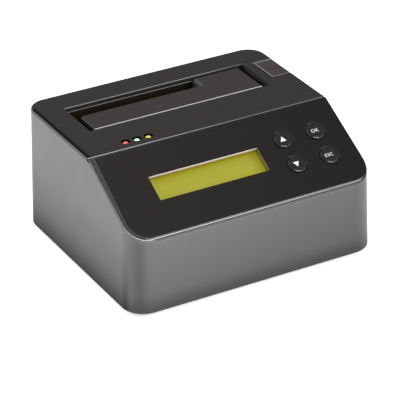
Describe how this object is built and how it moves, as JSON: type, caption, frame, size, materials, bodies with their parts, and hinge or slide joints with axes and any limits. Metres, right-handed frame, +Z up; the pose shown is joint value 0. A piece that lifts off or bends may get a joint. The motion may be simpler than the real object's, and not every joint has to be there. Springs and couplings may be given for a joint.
{
  "type": "hard drive eraser dock",
  "caption": "Desktop dock that holds a hard drive on end and erases it: grey housing, black deck with spring flap and eject key, sloping panel with screen and round keys.",
  "frame": {"origin": "centre of the footprint on the surface it stands on", "axes": "+X to the right, +Y to the rear with the ports, +Z up"},
  "size_m": [0.14, 0.121, 0.068],
  "materials": {
    "grey_case": "fine-textured mid grey moulding",
    "black_case": "fine-textured black moulding",
    "gloss_panel": "smooth glossy black sheet",
    "key_cap": "semi-gloss black key",
    "rubber": "matt black rubber",
    "steel": "bright plated steel",
    "board": "green lacquered board",
    "chip": "black moulded plastic",
    "gold": "gold-plated contact",
    "cable": "grey flat cable",
    "screen": "yellow-green screen glass",
    "light_block": "white light block",
    "red_lamp": "red lamp",
    "green_lamp": "green lamp",
    "yellow_lamp": "yellow lamp"
  },
  "bodies": {
    "base": {"main_housing": "grey_case", "top_cover": "black_case", "panel_overlay": "gloss_panel", "bottom_cover": "black_case", "rubber_feet": "rubber", "housing_screws": "steel", "bay_frame": "black_case", "bay_screws": "steel", "flap_pin": "steel", "flap_spring": "steel", "lever_pin": "steel", "eject_spring": "steel", "main_board": "board", "board_screws": "steel", "controller_chip": "chip", "bridge_chip": "chip", "cable_headers": "chip", "panel_cable": "cable", "key_cable": "cable", "sata_socket": "chip", "sata_contacts": "gold", "lcd_board": "board", "lcd_bezel": "steel", "lcd_glass": "screen", "lcd_backlight": "light_block", "lcd_screws": "steel", "key_board": "board", "key_screws": "steel", "tact_switches": "chip", "led_board": "board", "led_screws": "steel", "red_led": "red_lamp", "green_led": "green_lamp", "yellow_led": "yellow_lamp", "usb_socket": "steel", "usb_tongue": "cable", "dc_jack": "chip", "dc_pin": "steel", "power_switch": "chip"},
    "flap": {"drive_flap": "black_case"},
    "eject_key": {"eject_button": "black_case"},
    "lever": {"eject_lever": "black_case"},
    "up_key": {"up_button": "key_cap", "up_plunger": "chip"},
    "down_key": {"down_button": "key_cap", "down_plunger": "chip"},
    "ok_key": {"ok_button": "key_cap", "ok_plunger": "chip"},
    "esc_key": {"esc_button": "key_cap", "esc_plunger": "chip"},
    "rocker": {"power_rocker": "chip"}
  },
  "joints": [
    {"name": "flap_hinge", "type": "hinge", "parent": "base", "child": "flap", "pos_m": [-0.0012, 0.0108, 0.063], "axis": [-1, 0, 0], "range_deg": [0, 88], "stiffness_Nm_per_rad": 0.01, "springref_deg": -57.3},
    {"name": "eject_slide", "type": "slide", "parent": "base", "child": "eject_key", "axis": [0, 0, -1], "range_m": [0, 0.0035], "stiffness_N_per_m": 300, "springref_m": -0.004, "deforming": ["eject_spring"]},
    {"name": "lever_pivot", "type": "hinge", "parent": "base", "child": "lever", "pos_m": [0.044, 0.032, 0.0155], "axis": [0, 1, 0], "range_deg": [0, 13]},
    {"name": "up_press", "type": "slide", "parent": "base", "child": "up_key", "axis": [0, 0.4863, -0.8738], "range_m": [0, 0.0005], "stiffness_N_per_m": 400, "springref_m": -0.001},
    {"name": "down_press", "type": "slide", "parent": "base", "child": "down_key", "axis": [0, 0.4863, -0.8738], "range_m": [0, 0.0005], "stiffness_N_per_m": 400, "springref_m": -0.001},
    {"name": "ok_press", "type": "slide", "parent": "base", "child": "ok_key", "axis": [0, 0.4863, -0.8738], "range_m": [0, 0.0005], "stiffness_N_per_m": 400, "springref_m": -0.001},
    {"name": "esc_press", "type": "slide", "parent": "base", "child": "esc_key", "axis": [0, 0.4863, -0.8738], "range_m": [0, 0.0005], "stiffness_N_per_m": 400, "springref_m": -0.001},
    {"name": "power_rock", "type": "hinge", "parent": "base", "child": "rocker", "pos_m": [0.033, 0.05555, 0.03388], "axis": [-1, 0, 0], "range_deg": [0, 14]}
  ],
  "couplings": [
    {"joint": "lever_pivot", "follows": "eject_slide", "rad_per_m": 64.8}
  ]
}
